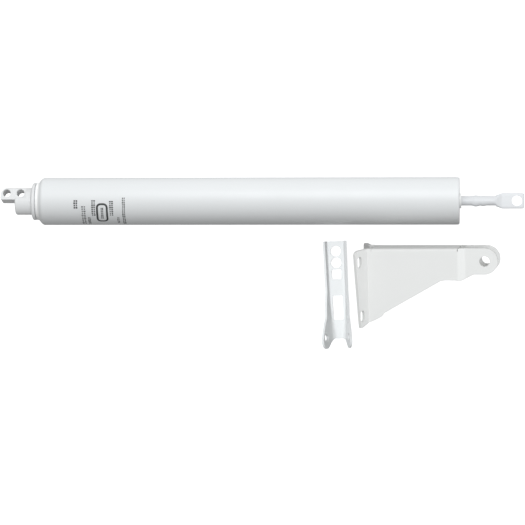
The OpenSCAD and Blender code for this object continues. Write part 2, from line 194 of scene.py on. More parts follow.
def sheet(outline, holes, cutsX, cutsY):
    # a flat sheet with holes, cut along lines so that it can bend there
    bm = bmesh.new()
    for loop in [outline, *holes]:
        verts = [bm.verts.new((p.x, p.y, 0)) for p in loop]
        for i, v in enumerate(verts):
            bm.edges.new((v, verts[(i + 1) % len(verts)]))
    bmesh.ops.triangle_fill(bm, edges=bm.edges, use_beauty=True, use_dissolve=False)
    for axis, cuts in ((0, cutsX), (1, cutsY)):
        for cut in cuts:
            at, normal = Vector((0, 0, 0)), Vector((0, 0, 0))
            at[axis], normal[axis] = cut, 1
            geometry = bm.verts[:] + bm.edges[:] + bm.faces[:]
            bmesh.ops.bisect_plane(bm, geom=geometry, dist=1e-5, plane_co=at, plane_no=normal)
    slanted = []
    for e in bm.edges:
        d = e.verts[1].co - e.verts[0].co
        if len(e.link_faces) == 2 and abs(d.x) > 1e-4 and abs(d.y) > 1e-4:
            slanted.append(e)
    bmesh.ops.dissolve_edges(bm, edges=slanted, use_verts=False, use_face_split=False)
    return bm


def steps(a, b, count):
    return [a + (b - a) * i / count for i in range(count + 1)]


def softened(node, name, material, edge, segments=2):
    # a merged copy of a CAD node, with its flat faces joined and its edges rounded
    bm = bmesh.new()
    bm.from_mesh(frame["nodes"][node].data)
    bmesh.ops.remove_doubles(bm, verts=bm.verts, dist=2e-6)
    flat = math.radians(0.3)
    bmesh.ops.dissolve_limit(bm, angle_limit=flat, verts=bm.verts, edges=bm.edges, delimit=set())
    mesh = bpy.data.meshes.new(name)
    bm.to_mesh(mesh)
    bm.free()
    made = pieceWith(mesh, name, material, 180)
    return settle(made, edgeRound(edge, segments), evenNormals)


# shader maths

class Flow:
    # a value or colour on its way through a node tree
    def __init__(self, tree, socket=None):
        self.tree, self.socket = tree, socket

    def node(self, kind, settings=None, inputs=None, out=0):
        made = self.tree.nodes.new(kind)
        for name, value in (settings or {}).items():
            if name == "stops":
                self.setStops(made.color_ramp, value)
            else:
                setattr(made, name, value)
        for key, value in (inputs or {}).items():
            if isinstance(value, Flow):
                self.tree.links.new(value.socket, made.inputs[key])
            else:
                made.inputs[key].default_value = value
        return Flow(self.tree, made.outputs[out] if made.outputs else None)

    @staticmethod
    def setStops(ramp, stops):
        while len(ramp.elements) < len(stops):
            ramp.elements.new(0.5)
        for element, (position, colour) in zip(ramp.elements, stops):
            element.position, element.color = position, colour

    def maths(self, operation, *values):
        return self.node("ShaderNodeMath", {"operation": operation}, dict(enumerate(values)))

    def __add__(self, other):
        return self.maths("ADD", self, other)

    def __radd__(self, other):
        return self.maths("ADD", other, self)

    def __sub__(self, other):
        return self.maths("SUBTRACT", self, other)

    def __rsub__(self, other):
        return self.maths("SUBTRACT", other, self)

    def __mul__(self, other):
        return self.maths("MULTIPLY", self, other)

    def __rmul__(self, other):
        return self.maths("MULTIPLY", other, self)

    def __truediv__(self, other):
        return self.maths("DIVIDE", self, other)

    def __rtruediv__(self, other):
        return self.maths("DIVIDE", other, self)


def newFinish(name):
    material = bpy.data.materials.new(name)
    material.use_nodes = True
    material.node_tree.nodes.clear()
    return material, Flow(material.node_tree)


def closeFinish(flow, **surface):
    shader = flow.node("ShaderNodeBsdfPrincipled", {}, surface, "BSDF")
    flow.node("ShaderNodeOutputMaterial", {}, {"Surface": shader})


def noiseOf(flow, where, scale, detail=2.0, rough=0.5):
    inputs = {"Vector": where, "Scale": scale, "Detail": detail, "Roughness": rough}
    return flow.node("ShaderNodeTexNoise", {"noise_dimensions": "3D"}, inputs, "Fac")


def mixColour(flow, share, a, b):
    # inputs 0, 6 and 7 are the factor and the two colours
    return flow.node("ShaderNodeMix", {"data_type": "RGBA"}, {0: share, 6: (*a, 1), 7: (*b, 1)}, 2)


def bumpOf(flow, height, strength, distance):
    inputs = {"Height": height, "Strength": strength, "Distance": distance}
    return flow.node("ShaderNodeBump", {}, inputs, "Normal")


def ramped(flow, value, low, high):
    # 0 at low and 1 at high, held level outside them; low may be the larger
    inputs = {"Value": value, "From Min": low, "From Max": high}
    return flow.node("ShaderNodeMapRange", {"clamp": True}, inputs)


def enamel(name, colour, shade, roughness, peel=0.12, neck=False):
    # satin paint: a faint orange peel, slightly uneven gloss and colour; with neck set, a painted highlight on the
    # tube's rolled neck
    material, flow = newFinish(name)
    where = flow.node("ShaderNodeTexCoord", out="Object")
    cloud = noiseOf(flow, where, 45, 3)
    peelWaves = noiseOf(flow, where, 1400, 2, 0.4)
    speck = noiseOf(flow, where, 5200, 1)
    paint = mixColour(flow, cloud, colour, shade)
    if neck:
        # painted highlight: the colour turns near white on the rolled neck, where the roll catches the light
        start, turnIn = tubeSize["start"], tubeSize["start"] + tubeSize["neckLength"]
        x = flow.node("ShaderNodeSeparateXYZ", {}, {"Vector": where}, "X")
        rise = ramped(flow, x, *[(start + past) * mm for past in tubeSize["highlightRise"]])
        highlightBand = rise * ramped(flow, x, *[(turnIn + past) * mm for past in tubeSize["highlightFall"]])
        paint = flow.node("ShaderNodeMix", {"data_type": "RGBA"}, {0: highlightBand, 6: paint, 7: (0.97, 0.97, 0.96, 1)}, 2)
    closeFinish(
        flow,
        **{
            "Base Color": paint,
            "Roughness": roughness - 0.05 + 0.1 * cloud + 0.03 * speck,
            "Normal": bumpOf(flow, peelWaves + 0.25 * speck, peel, 0.00006),
            "Coat Weight": 0.15,
            "Coat Roughness": 0.3,
            "IOR": 1.5,
        },
    )
    return material


def metal(name, colour, shade, roughness, grain, stretch):
    # drawn or turned metal: fine lines, stretched by the scale given for each axis
    material, flow = newFinish(name)
    where = flow.node("ShaderNodeTexCoord", out="Object")
    lines = flow.node("ShaderNodeMapping", {}, {"Vector": where, "Scale": stretch})
    streak = noiseOf(flow, lines, grain, 3, 0.6)
    cloud = noiseOf(flow, where, 120, 2)
    closeFinish(
        flow,
        **{
            "Base Color": mixColour(flow, cloud, colour, shade),
            "Metallic": 1.0,
            "Roughness": roughness + 0.18 * streak,
            "Normal": bumpOf(flow, streak, 0.15, 0.00004),
        },
    )
    return material


def moulded(name, colour, shade, roughness, scale, strength, sheen=0.0):
    # rubber, nylon and leather: a grain of a given scale in colour and height
    material, flow = newFinish(name)
    where = flow.node("ShaderNodeTexCoord", out="Object")
    grain = noiseOf(flow, where, scale, 4, 0.6)
    closeFinish(
        flow,
        **{
            "Base Color": mixColour(flow, grain, colour, shade),
            "Roughness": roughness + 0.15 * grain,
            "Normal": bumpOf(flow, grain, strength, 0.00008),
            "Sheen Weight": sheen,
        },
    )
    return material


# pieces turned about the tube's axis are drawn along X, and this sets them down on it
tubeLow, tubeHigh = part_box("cylinder_tube")
axisPoint = (tubeLow + tubeHigh) / 2
levelPlace = Matrix.Translation((0, axisPoint.y, axisPoint.z))

tubeSize = {"radius": (tubeHigh.y - tubeLow.y) / 2 / mm, "wall": 0.9, "neck": 12.5, "neckLength": 1.5,
            "lip": 2.6, "lipRound": 1.3, "shoulder": (3.9, 2.9),
            "highlightRise": (0.3, 0.8), "highlightFall": (1.7, 0.7),       # where the painted neck highlight rises, past the start, and fades, past the neck
            "start": tubeLow.x / mm, "end": tubeHigh.x / mm}

finishes = {
    # the tube's enamel carries a painted highlight on its rolled neck
    "tube": enamel("tubeEnamel", (0.755, 0.765, 0.768), (0.735, 0.745, 0.748), 0.42, neck=True),
    "plug": enamel("plugEnamel", (0.80, 0.802, 0.802), (0.775, 0.777, 0.777), 0.5, 0.25),
    "cap": enamel("capEnamel", (0.80, 0.81, 0.82), (0.76, 0.77, 0.79), 0.45, 0.25),
    "rod": enamel("rodEnamel", (0.785, 0.795, 0.81), (0.75, 0.76, 0.775), 0.4, 0.2),
    "jamb": enamel("jambEnamel", (0.69, 0.688, 0.675), (0.67, 0.668, 0.655), 0.55, 0.2),
    "door": enamel("doorEnamel", (0.705, 0.715, 0.715), (0.69, 0.70, 0.70), 0.5, 0.2),
    "brass": metal("turnedBrass", (0.74, 0.55, 0.27), (0.66, 0.47, 0.21), 0.22, 900, (8, 1, 1)),
    "zinc": metal("zincPlate", (0.62, 0.63, 0.65), (0.55, 0.57, 0.6), 0.25, 700, (6, 1, 1)),
    "wire": metal("springWire", (0.42, 0.42, 0.44), (0.32, 0.32, 0.34), 0.3, 600, (1, 1, 1)),
    "seal": moulded("sealRubber", (0.025, 0.025, 0.027), (0.04, 0.04, 0.042), 0.5, 900, 0.2),
    "nylon": moulded("guideNylon", (0.93, 0.93, 0.92), (0.89, 0.89, 0.88), 0.38, 700, 0.1),
    "ink": moulded("greyInk", (0.015, 0.016, 0.017), (0.09, 0.092, 0.094), 0.6, 2600, 0.1),
    "piston": moulded("pistonNylon", (0.72, 0.69, 0.6), (0.66, 0.63, 0.54), 0.4, 700, 0.15),
    "leather": moulded("cupLeather", (0.22, 0.11, 0.05), (0.12, 0.055, 0.025), 0.55, 1300, 0.6, 0.1),
}
print("finishes ready")


# geometry nodes

def newTree(name, numbers):
    tree = bpy.data.node_groups.new(name, "GeometryNodeTree")
    for label, kind, value in numbers:
        socket = tree.interface.new_socket(label, in_out="INPUT", socket_type=kind)
        socket.default_value = value
    tree.interface.new_socket("Geometry", in_out="OUTPUT", socket_type="NodeSocketGeometry")
    return tree, Flow(tree)


def setInputs(modifier, tree, values):
    for item in tree.interface.items_tree:
        if item.in_out == "INPUT" and item.name in values:
            modifier[item.identifier] = values[item.name]


def grow(name, tree, values):
    # what a tree makes from the values given, as a plain mesh
    seed = bpy.data.objects.new(name, bpy.data.meshes.new(name))
    bpy.context.scene.collection.objects.link(seed)
    modifier = seed.modifiers.new("grow", "NODES")
    modifier.node_group = tree
    setInputs(modifier, tree, values)
    bpy.context.view_layer.update()
    mesh = bpy.data.meshes.new_from_object(seed.evaluated_get(bpy.context.evaluated_depsgraph_get()))
    bpy.data.objects.remove(seed)
    return mesh


# the tube and its print

def shoulderCurve(x, low, high, length):
    # the easy swell from the rolled neck to the full diameter
    return [(x + length * t, low + (high - low) * math.sin(math.pi * t / 2) ** 1.17) for t in steps(0, 1, 16)]


def buildTube():
    t = tubeSize
    r, bore, neck = t["radius"], t["radius"] - t["wall"], t["neck"]
    turnIn = t["start"] + t["neckLength"]
    outer = [(t["start"], neck - t["wall"], 0.4), (t["start"], neck, 0.4), (turnIn - 0.3, neck)]
    outer += shoulderCurve(turnIn, neck, r, t["shoulder"][0])
    outer += [(t["end"], r, t["lipRound"]), (t["end"], r - t["lip"], 0.4)]
    inner = [(t["end"] - t["wall"], r - t["lip"], 0.4), (t["end"] - t["wall"], bore)]
    inner += shoulderCurve(turnIn + 0.35, neck - t["wall"], bore, t["shoulder"][1])[::-1]
    profile = rounded(outer + inner, steps=10)
    made = turned("tubeShell", profile, levelPlace, finishes["tube"], 160)
    return keep(made, "closer", "tube_enamel", "cylinder_tube")


# columns of short plain strokes and one closed frame, which spell nothing
# each column: its two sides along the tube, its start and end round it, how many strokes, and the inked share
printSize = {
    "columns": ((46.7, 49.3, 0.7, -5.4, 4, 0.74), (51.8, 54.6, -3.3, -20.2, 11, 0.54),
                (55.9, 57.6, -11.9, -20.4, 6, 0.74), (58.6, 61.2, 0.7, -10.8, 8, 0.66),
                (70.6, 73.2, 0.1, -10.8, 8, 0.66), (75.5, 77.0, -11.8, -18.8, 5, 0.74),
                (79.2, 81.2, 2.3, -20.6, 16, 0.74), (64.9, 66.5, -4.6, -13.4, 5, 0.84)),
    "halfGap": 0.12, "thick": 0.06, "seed": 5,
    "mark": {"Middle": 65.7, "Around": -9.0, "Long": 6.6, "Tall": 13.5, "Corner": 2.4, "Line": 1.3},
}


def wrapOnTube(flow, flat, material):
    # bends flat work, drawn with Y round the tube and Z outwards, onto the tube's skin
    at = flow.node("GeometryNodeInputPosition")
    parts = {k: flow.node("ShaderNodeSeparateXYZ", {}, {"Vector": at}, k) for k in ("X", "Y", "Z")}
    skin = tubeSize["radius"] * mm
    angle = parts["Y"] * (1 / skin)
    out = parts["Z"] + skin
    place = flow.node("ShaderNodeCombineXYZ", {}, {
        "X": parts["X"], "Y": out * angle.maths("SINE", angle), "Z": out * angle.maths("COSINE", angle)})
    bent = flow.node("GeometryNodeSetPosition", {}, {"Geometry": flat, "Position": place})
    real = flow.node("GeometryNodeRealizeInstances", {}, {"Geometry": bent})
    done = flow.node("GeometryNodeSetMaterial", {}, {"Geometry": real, "Material": material})
    flow.node("NodeGroupOutput", {}, {"Geometry": done})


def columnTree(material):
    numbers = [(k, "NodeSocketFloat", 0.001) for k in ("Left", "Right", "From", "To", "Fill", "Thick")]
    numbers += [("Strokes", "NodeSocketInt", 4), ("Seed", "NodeSocketInt", 5)]
    tree, flow = newTree("strokeColumn", numbers)
    given = tree.nodes.new("NodeGroupInput")
    value = {k: Flow(tree, given.outputs[k]) for k, _, _ in numbers}
    pitch = (value["To"] - value["From"]) / value["Strokes"]
    middle = (value["Left"] + value["Right"]) * 0.5
    start = flow.node("ShaderNodeCombineXYZ", {}, {"X": middle, "Y": value["From"] + pitch * 0.5})
    step = flow.node("ShaderNodeCombineXYZ", {}, {"Y": pitch})
    line = flow.node("GeometryNodeMeshLine", {"mode": "OFFSET"}, {
        "Count": value["Strokes"], "Start Location": start, "Offset": step})
    long = value["Right"] - value["Left"]
    tall = pitch.maths("ABSOLUTE", pitch) * value["Fill"]
    size = flow.node("ShaderNodeCombineXYZ", {}, {"X": long, "Y": tall, "Z": value["Thick"]})
    stroke = flow.node("GeometryNodeMeshCube", {}, {
        "Size": size, "Vertices X": 2, "Vertices Y": 3, "Vertices Z": 2})
    # inputs 2 and 3 are the least and the most of a decimal number
    uneven = flow.node("FunctionNodeRandomValue", {"data_type": "FLOAT"}, {
        2: 0.5, 3: 1.1, "Seed": value["Seed"]}, 1)
    stretch = flow.node("ShaderNodeCombineXYZ", {}, {"X": uneven, "Y": 1.0, "Z": 1.0})
    rows = flow.node("GeometryNodeInstanceOnPoints", {}, {"Points": line, "Instance": stroke, "Scale": stretch})
    flat = flow.node("GeometryNodeRealizeInstances", {}, {"Geometry": rows})
    wrapOnTube(flow, flat, material)
    return tree


def markTree(material):
    sizes = ("Middle", "Around", "Long", "Tall", "Corner", "Line", "Thick")
    numbers = [(k, "NodeSocketFloat", 0.001) for k in sizes]
    tree, flow = newTree("closedMark", numbers)
    given = tree.nodes.new("NodeGroupInput")
    value = {k: Flow(tree, given.outputs[k]) for k, _, _ in numbers}
    frameLine = flow.node("GeometryNodeCurvePrimitiveQuadrilateral", {}, {
        "Width": value["Long"], "Height": value["Tall"]})
    rounder = flow.node("GeometryNodeFilletCurve", {"mode": "POLY"}, {
        "Curve": frameLine, "Count": 8, "Radius": value["Corner"]})
    finer = flow.node("GeometryNodeResampleCurve", {}, {"Curve": rounder, "Count": 96})
    section = flow.node("GeometryNodeCurvePrimitiveQuadrilateral", {}, {
        "Width": value["Line"], "Height": value["Thick"]})
    swept = flow.node("GeometryNodeCurveToMesh", {}, {"Curve": finer, "Profile Curve": section})
    shift = flow.node("ShaderNodeCombineXYZ", {}, {"X": value["Middle"], "Y": value["Around"]})
    flat = flow.node("GeometryNodeTransform", {}, {"Geometry": swept, "Translation": shift})
    wrapOnTube(flow, flat, material)
    return tree


def buildPrint():
    p, ink = printSize, finishes["ink"]
    columns, mark = columnTree(ink), markTree(ink)
    bm = bmesh.new()
    for i, (left, right, a, b, count, fill) in enumerate(p["columns"]):
        # each stroke is two halves, drawn to their own random lengths
        middle = (left + right) / 2
        for k, (x0, x1) in enumerate(((left, middle - p["halfGap"]), (middle + p["halfGap"], right))):
            values = {"Left": x0 * mm, "Right": x1 * mm, "From": a * mm, "To": b * mm, "Fill": fill,
                      "Thick": p["thick"] * mm, "Strokes": count, "Seed": p["seed"] + 2 * i + k}
            bm.from_mesh(grow("strokes", columns, values))
    sizes = {label: value * mm for label, value in p["mark"].items()}
    bm.from_mesh(grow("mark", mark, {**sizes, "Thick": p["thick"] * mm}))
    bmesh.ops.recalc_face_normals(bm, faces=bm.faces)
    made = pieceFrom(bm, "tubePrint", levelPlace @ Matrix.Scale(1 / mm, 4), ink, 40)
    return keep(made, "closer", "tube_enamel")


buildTube()
buildPrint()
print("tube built and printed")


# end plug and its screw

def buildPlug():
    plug = softened("end_plug", "plugCasting", finishes["plug"], 0.28, 3)
    keep(plug, "closer", "plug_enamel", "end_plug")
    screw = softened("adjusting_screw", "airScrew", finishes["brass"], 0.1)
    keep(screw, "screw", "screw_brass", "adjusting_screw")


buildPlug()
print("end plug built")


# rod with its stakes and its flattened eye

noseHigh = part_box("rod_guide_bush")[1]
rodLow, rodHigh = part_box("piston_rod")
eyePoint = mountOf("rod_eye_bore")[0]
rodSize = {"radius": 3.175, "tail": 2.375, "tailEnd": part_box("piston")[1].x / mm, "start": rodLow.x / mm,
           "end": rodHigh.x / mm, "eyeLength": 18.7, "eyeHalf": 5.2, "eyeThick": 3.0, "hole": 3.35,
           "stake": noseHigh.x / mm + 9.7,
           # each stake: its place past the first, its length, its spread, its flattening, its swell on the lower side
           "stakes": ((0, 6.4, 0.5, 0.3, 0.7), (4.9, 5.2, 0.15, 0.1, 0.35))}


def smooth(a, b, x):
    t = min(1, max(0, (x - a) / (b - a)))
    return t * t * (3 - 2 * t)


def bump(centre, length, x):
    t = abs(x - centre) / (length / 2)
    return math.cos(t * math.pi / 2) ** 2 if t < 1 else 0


def buildRod():
    s = rodSize
    shoulder = s["end"] - s["eyeLength"]
    xs = [s["start"], s["start"] + 0.4, s["tailEnd"] - 0.01, s["tailEnd"]]
    xs += steps(s["tailEnd"] + 0.3, s["stake"] - 6, 12) + steps(s["stake"] - 5, s["stake"] + 9, 56)[1:]
    xs += steps(shoulder - 3, shoulder + 8, 44) + [s["end"] - back for back in (1.2, 0.7, 0.3, 0.08, 0)]
    bm, rings, count = bmesh.new(), [], 72
    for x in xs:
        wide = high = s["radius"] if x >= s["tailEnd"] else s["tail"]
        if x == s["start"]:
            wide = high = s["tail"] - 0.4
        low = 0
        for past, length, spreads, flattens, swells in s["stakes"]:
            pinch = bump(s["stake"] + past, length, x)
            low += swells * pinch
            wide += spreads * pinch
            high -= flattens * pinch
        flat = smooth(shoulder - 1.5, shoulder + 4.5, x)
        # the eye starts with a sharp step, and widens on from there
        spread = 0.36 * smooth(shoulder - 0.25, shoulder + 0.25, x)
        spread += 0.64 * smooth(shoulder - 0.2, shoulder + 4.8, x)
        wide += (s["eyeHalf"] - s["radius"]) * spread
        high += (s["eyeThick"] / 2 - s["radius"]) * flat
        power = 2 + 4 * flat
        ending = max(0, x - (s["end"] - 0.8)) / 0.8
        wide -= 0.75 * ending ** 2
        high -= 0.45 * ending ** 2
        ring = []
        for i in range(count):
            a = 2 * math.pi * i / count
            c, d = math.cos(a), math.sin(a)
            y = math.copysign(abs(c) ** (2 / power), c) * (wide if c > 0 else max(wide, s["radius"] + low))
            z = math.copysign(abs(d) ** (2 / power), d) * high
            ring.append(bm.verts.new((x, y, z)))
        rings.append(ring)
    for a, b in zip(rings, rings[1:]):
        for i in range(count):
            j = (i + 1) % count
            bm.faces.new((a[i], a[j], b[j], b[i]))
    bm.faces.new(rings[0])
    bm.faces.new(rings[-1])
    bmesh.ops.recalc_face_normals(bm, faces=bm.faces)
    rod = pieceFrom(bm, "pistonRod", levelPlace, finishes["rod"], 40)
    drill = bmesh.new()
    bmesh.ops.create_cone(drill, cap_ends=True, segments=64, radius1=s["hole"], radius2=s["hole"], depth=12)
    tool = pieceFrom(drill, "rodDrill", Matrix.Translation(eyePoint), finishes["rod"])
    settle(rod, ("BOOLEAN", {"object": tool, "operation": "DIFFERENCE", "solver": "EXACT"}))
    bpy.data.objects.remove(tool)
    settle(rod, edgeRound(0.25, 3, 50), evenNormals)
    return keep(rod, "rod", "rod_enamel", "piston_rod")


buildRod()
print("rod built")


# turned pieces inside and at the rod end

def spanOf(node):
    low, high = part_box(node)
    return low.x / mm, high.x / mm, (high.y - low.y) / 2 / mm


# inside radii round the rod and its turned-down tail, and the piston's gap to the spring's washer
boreSize = {"cap": 5.05, "bush": 3.255, "bumper": 3.675, "tail": 2.475, "seat": 3.275, "seatGap": 0.08}


def buildRodEnd():
    lip = tubeSize["radius"] - 2.7
    a, b, outer = spanOf("rod_end_cap")
    hole = boreSize["cap"]
    cap = [(a, hole, 0.3), (a, outer, 0.5), (b - 1, outer, 0.3), (b - 1, lip, 0.2), (b, lip, 0.3), (b, hole, 0.2)]
    made = turned("endCap", rounded(cap, steps=4), levelPlace, finishes["cap"])
    keep(made, "closer", "cap_enamel", "rod_end_cap")
    a, b, outer = spanOf("rod_guide_bush")
    hole = boreSize["bush"]
    bush = [(a, hole, 0.3), (a, outer, 0.4), (a + 1.5, outer, 0.3), (a + 1.5, 5, 0.1), (b, 5, 0.5), (b, hole, 0.25)]
    made = turned("guideBush", rounded(bush, steps=4), levelPlace, finishes["nylon"])
    keep(made, "closer", "bush_nylon", "rod_guide_bush")
    a, b, outer = spanOf("rod_bumper")
    made = turned("stopBumper", ringProfile(a, b, outer, boreSize["bumper"], 0.8), levelPlace, finishes["seal"])
    keep(made, "closer", "seal_rubber", "rod_bumper")


def buildPistonStack():
    hole = boreSize["tail"]
    a, b, outer = spanOf("piston")
    b -= boreSize["seatGap"]                                    # a hair clear of the spring's washer
    body = [(a, hole, 0.3), (a, outer, 0.6), (b - 4.4, outer, 0.3), (b - 4.4, outer - 1.2, 0.3),
            (b - 2.4, outer - 1.2, 0.3), (b - 2.4, outer, 0.3), (b, outer, 0.6), (b, hole, 0.3)]
    made = turned("pistonBody", rounded(body, steps=4), levelPlace, finishes["piston"])
    keep(made, "rod", "piston_nylon", "piston")
    a, b, outer = spanOf("piston_cup_seal")
    disc = b - 2
    cup = [(disc, hole, 0.2), (disc, outer - 2.4, 0.8), (a, outer - 1.4, 0.3), (a, outer - 0.3, 0.3),
           (b - 1, outer, 0.6), (b, outer - 0.8, 0.6), (b, hole, 0.2)]
    made = turned("cupSeal", rounded(cup, steps=4), levelPlace, finishes["leather"])
    keep(made, "rod", "cup_leather", "piston_cup_seal")
    a, b, outer = spanOf("cup_washer")
    made = turned("cupWasher", ringProfile(a, b, outer, hole, 0.25), levelPlace, finishes["zinc"])
    keep(made, "rod", "zinc_steel", "cup_washer")
    a, b, outer = spanOf("spring_seat_washer")
    made = turned("springSeat", ringProfile(a, b, outer, boreSize["seat"], 0.3), levelPlace, finishes["zinc"])
    keep(made, "spring_seat", "zinc_steel", "spring_seat_washer")
    for node, name in (("piston_nut", "pistonNut"), ("lock_washer", "lockWasher")):
        keep(softened(node, name, finishes["zinc"], 0.15), "rod", "zinc_steel", node)


def oRing(node, name, body, place):
    low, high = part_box(node)
    wire = (high.x - low.x) / 2 / mm
    mid = (high.y - low.y) / 2 / mm - wire
    profile = circlePoints((low.x + high.x) / 2 / mm, mid, wire, steps=20)
    return keep(turned(name, profile, place, finishes["seal"]), body, "seal_rubber", node)


def buildSeals():
    oRing("end_plug_seal", "plugRing", "closer", levelPlace)
    low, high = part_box("adjusting_screw_seal")
    middle = (low + high) / 2
    oRing("adjusting_screw_seal", "screwRing", "screw", Matrix.Translation((0, middle.y, middle.z)))


buildRodEnd()
buildPistonStack()
buildSeals()
print("turned pieces built")


# main spring, wound by geometry nodes

springLow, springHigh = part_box("main_spring")
springSize = {"Wire": 2.2 * mm, "Turns": 24.0, "Start": springLow.x, "End": springHigh.x,
              "Radius": (springHigh.y - springLow.y) / 2 - 1.1 * mm}


def springTree(material):
    numbers = [(k, "NodeSocketFloat", 0.01) for k in ("Radius", "Wire", "Turns", "Start", "End")]
    tree, flow = newTree("coiledSpring", numbers)
    given = tree.nodes.new("NodeGroupInput")
    value = {k: Flow(tree, given.outputs[k]) for k, _, _ in numbers}
    height = value["End"] - value["Start"] - value["Wire"]
    spiral = flow.node("GeometryNodeCurveSpiral", {}, {
        "Resolution": 48, "Rotations": value["Turns"], "Start Radius": value["Radius"],
        "End Radius": value["Radius"], "Height": height})
    shift = flow.node("ShaderNodeCombineXYZ", {}, {"X": value["Start"] + value["Wire"] * 0.5})
    laid = flow.node("GeometryNodeTransform", {}, {
        "Geometry": spiral, "Rotation": (0, math.pi / 2, 0), "Translation": shift})
    section = flow.node("GeometryNodeCurvePrimitiveCircle", {}, {"Resolution": 12, "Radius": value["Wire"] * 0.5})
    swept = flow.node("GeometryNodeCurveToMesh", {}, {"Curve": laid, "Profile Curve": section, "Fill Caps": True})
    real = flow.node("GeometryNodeRealizeInstances", {}, {"Geometry": swept})
    done = flow.node("GeometryNodeSetMaterial", {}, {"Geometry": real, "Material": material})
    flow.node("NodeGroupOutput", {}, {"Geometry": done})
    return tree


def buildSpring():
    mesh = grow("springCoil", springTree(finishes["wire"]), springSize)
    mesh.transform(levelPlace)
    made = pieceWith(mesh, "mainSpring", finishes["wire"], 60)
    keep(made, "closer", "spring_steel", "main_spring")
    slide = next(j for j in frame["joints"] if j["name"] == "rod_slide")
    free = springHigh.x - springLow.x
    left = (free - slide["range_m"][1]) / free
    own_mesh(made)


buildSpring()
print("spring wound")


# jamb bracket: one folded sheet, mirrored about the middle of its web

jambSize = {"thick": 1.9, "eye": 8.85, "hole": 3.4, "eyeMid": 6.2, "webMid": 8.0, "step": (-17.6, -13.2),
            "bendRadius": 0.95, "web": (-75.0, -17.9), "notch": (0.15, 0.4), "bend": -78.39, "tip": (-84.34, 20.95),
            "height": 50.5, "slots": ((8.0, 9.39), (44.2, 7.59)), "slotHalf": (2.3, 3.8)}


def jambFrame():
    origin, bore = mountOf("jamb_eye_bore")
    back = mountOf("jamb_flange_near")[1] + mountOf("jamb_flange_far")[1]
    return placeFrom(origin, -back, bore)


def jambOffset(x):
    # distance of the sheet's middle from the bracket's middle plane
    j = jambSize
    z = j["webMid"] + (j["eyeMid"] - j["webMid"]) * smooth(j["step"][0] - 0.6, j["step"][1] + 0.6, x)
    slope = (j["tip"][1] - j["webMid"]) / (j["bend"] - j["tip"][0])
    soft = 1.0                                                  # the bend eases in over this stretch
    past = j["bend"] + soft / 2 - x
    if past <= 0:
        return z
    if past < soft:
        return z + slope * past * past / (2 * soft)
    return z + slope * (past - soft / 2)


def jambShape(x, v, inWeb):
    j = jambSize
    z, start, r = jambOffset(x), j["eye"] - j["thick"] / 2 - j["bendRadius"], j["bendRadius"]
    if not inWeb or v <= start:
        return Vector((x, v, z))
    quarter = r * math.pi / 2
    if v - start < quarter:
        a = (v - start) / r
        return Vector((x, start + r * math.sin(a), z - r + r * math.cos(a)))
    return Vector((x, start + r, z - r - (v - start - quarter)))


def jambOutline():
    j = jambSize
    e, foot, tip = j["eye"], j["eye"] - j["height"], j["tip"][0]
    start = e - j["thick"] / 2 - j["bendRadius"]
    webEnd, webFront, notchBack, notchFront = *j["web"], j["web"][0] - j["notch"][0], j["web"][1] + j["notch"][1]
    top = start + j["bendRadius"] * math.pi / 2 + j["webMid"] - j["bendRadius"]
    eye = [Vector((e * math.cos(t), e * math.sin(t))) for t in steps(-math.pi / 2, math.pi / 2, 36)]
    rest = [
        (notchFront, e, 0.3), (notchFront, start, 0.3), (webFront, start, 0.3), (webFront, top),
        (webEnd, top), (webEnd, start, 0.3), (notchBack, start, 0.3), (notchBack, e, 0.4),
        (tip + 1.9, e, 0.5), (tip + 0.9, e - 0.35, 1), (tip + 0.3, e - 1.1, 1), (tip, e - 2.4, 1),
        (tip + 1.9, foot - 2.1, 0.7), (-79, foot + 0.4, 2), (-73.8, foot + 2.2, 2), (-68.8, foot + 5, 1.5),
        (-67.4, foot + 7.1, 3), (-29.1, -12.95, 5), (-25.9, -12.35, 3), (-19, -12.5, 3),
        (-17.1, -13.2, 1.5), (-13.7, -12.1, 1.5), (-7.3, -e, 2),
    ]
    return eye + rounded(rest, closed=False, steps=5)


